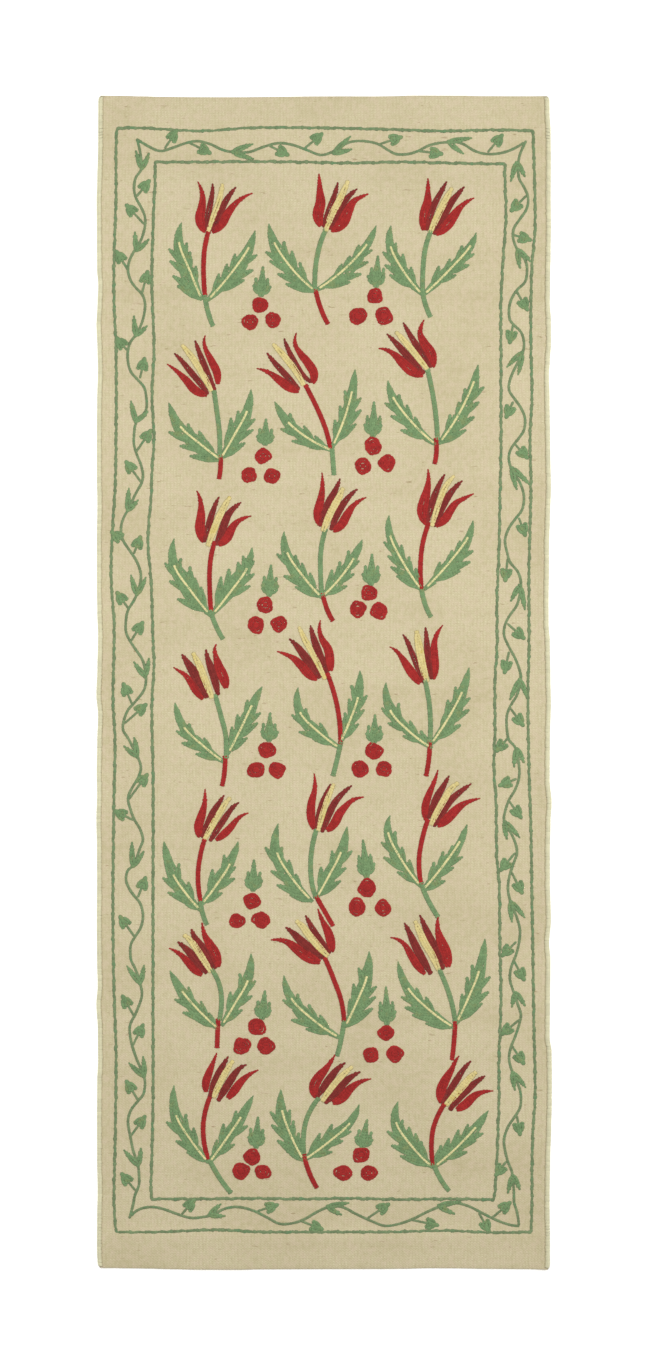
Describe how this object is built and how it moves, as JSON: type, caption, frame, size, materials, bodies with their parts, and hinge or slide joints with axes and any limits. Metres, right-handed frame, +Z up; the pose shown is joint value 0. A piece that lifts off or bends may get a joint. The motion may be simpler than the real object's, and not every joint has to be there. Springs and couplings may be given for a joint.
{
  "type": "suzani kilim rug",
  "caption": "Narrow flat-woven kilim runner with hemmed ends, whipped sides and an embroidered face, laid flat.",
  "frame": {"origin": "centre of the rug's underside, on the surface it lies on", "axes": "+Y along the rug's length towards the end that is at the top of the pattern, +Z up out of the embroidered face"},
  "size_m": [0.7063, 1.8203, 0.0074],
  "materials": {
    "ground_cloth": "natural cream wool flat weave, matt, with fine slubs",
    "overcast_yarn": "paler and yellower whipped wool yarn, matt"
  },
  "bodies": {
    "root": {"kilim_cloth": "ground_cloth", "overcast_left": "overcast_yarn", "overcast_right": "overcast_yarn"}
  },
  "joints": []
}
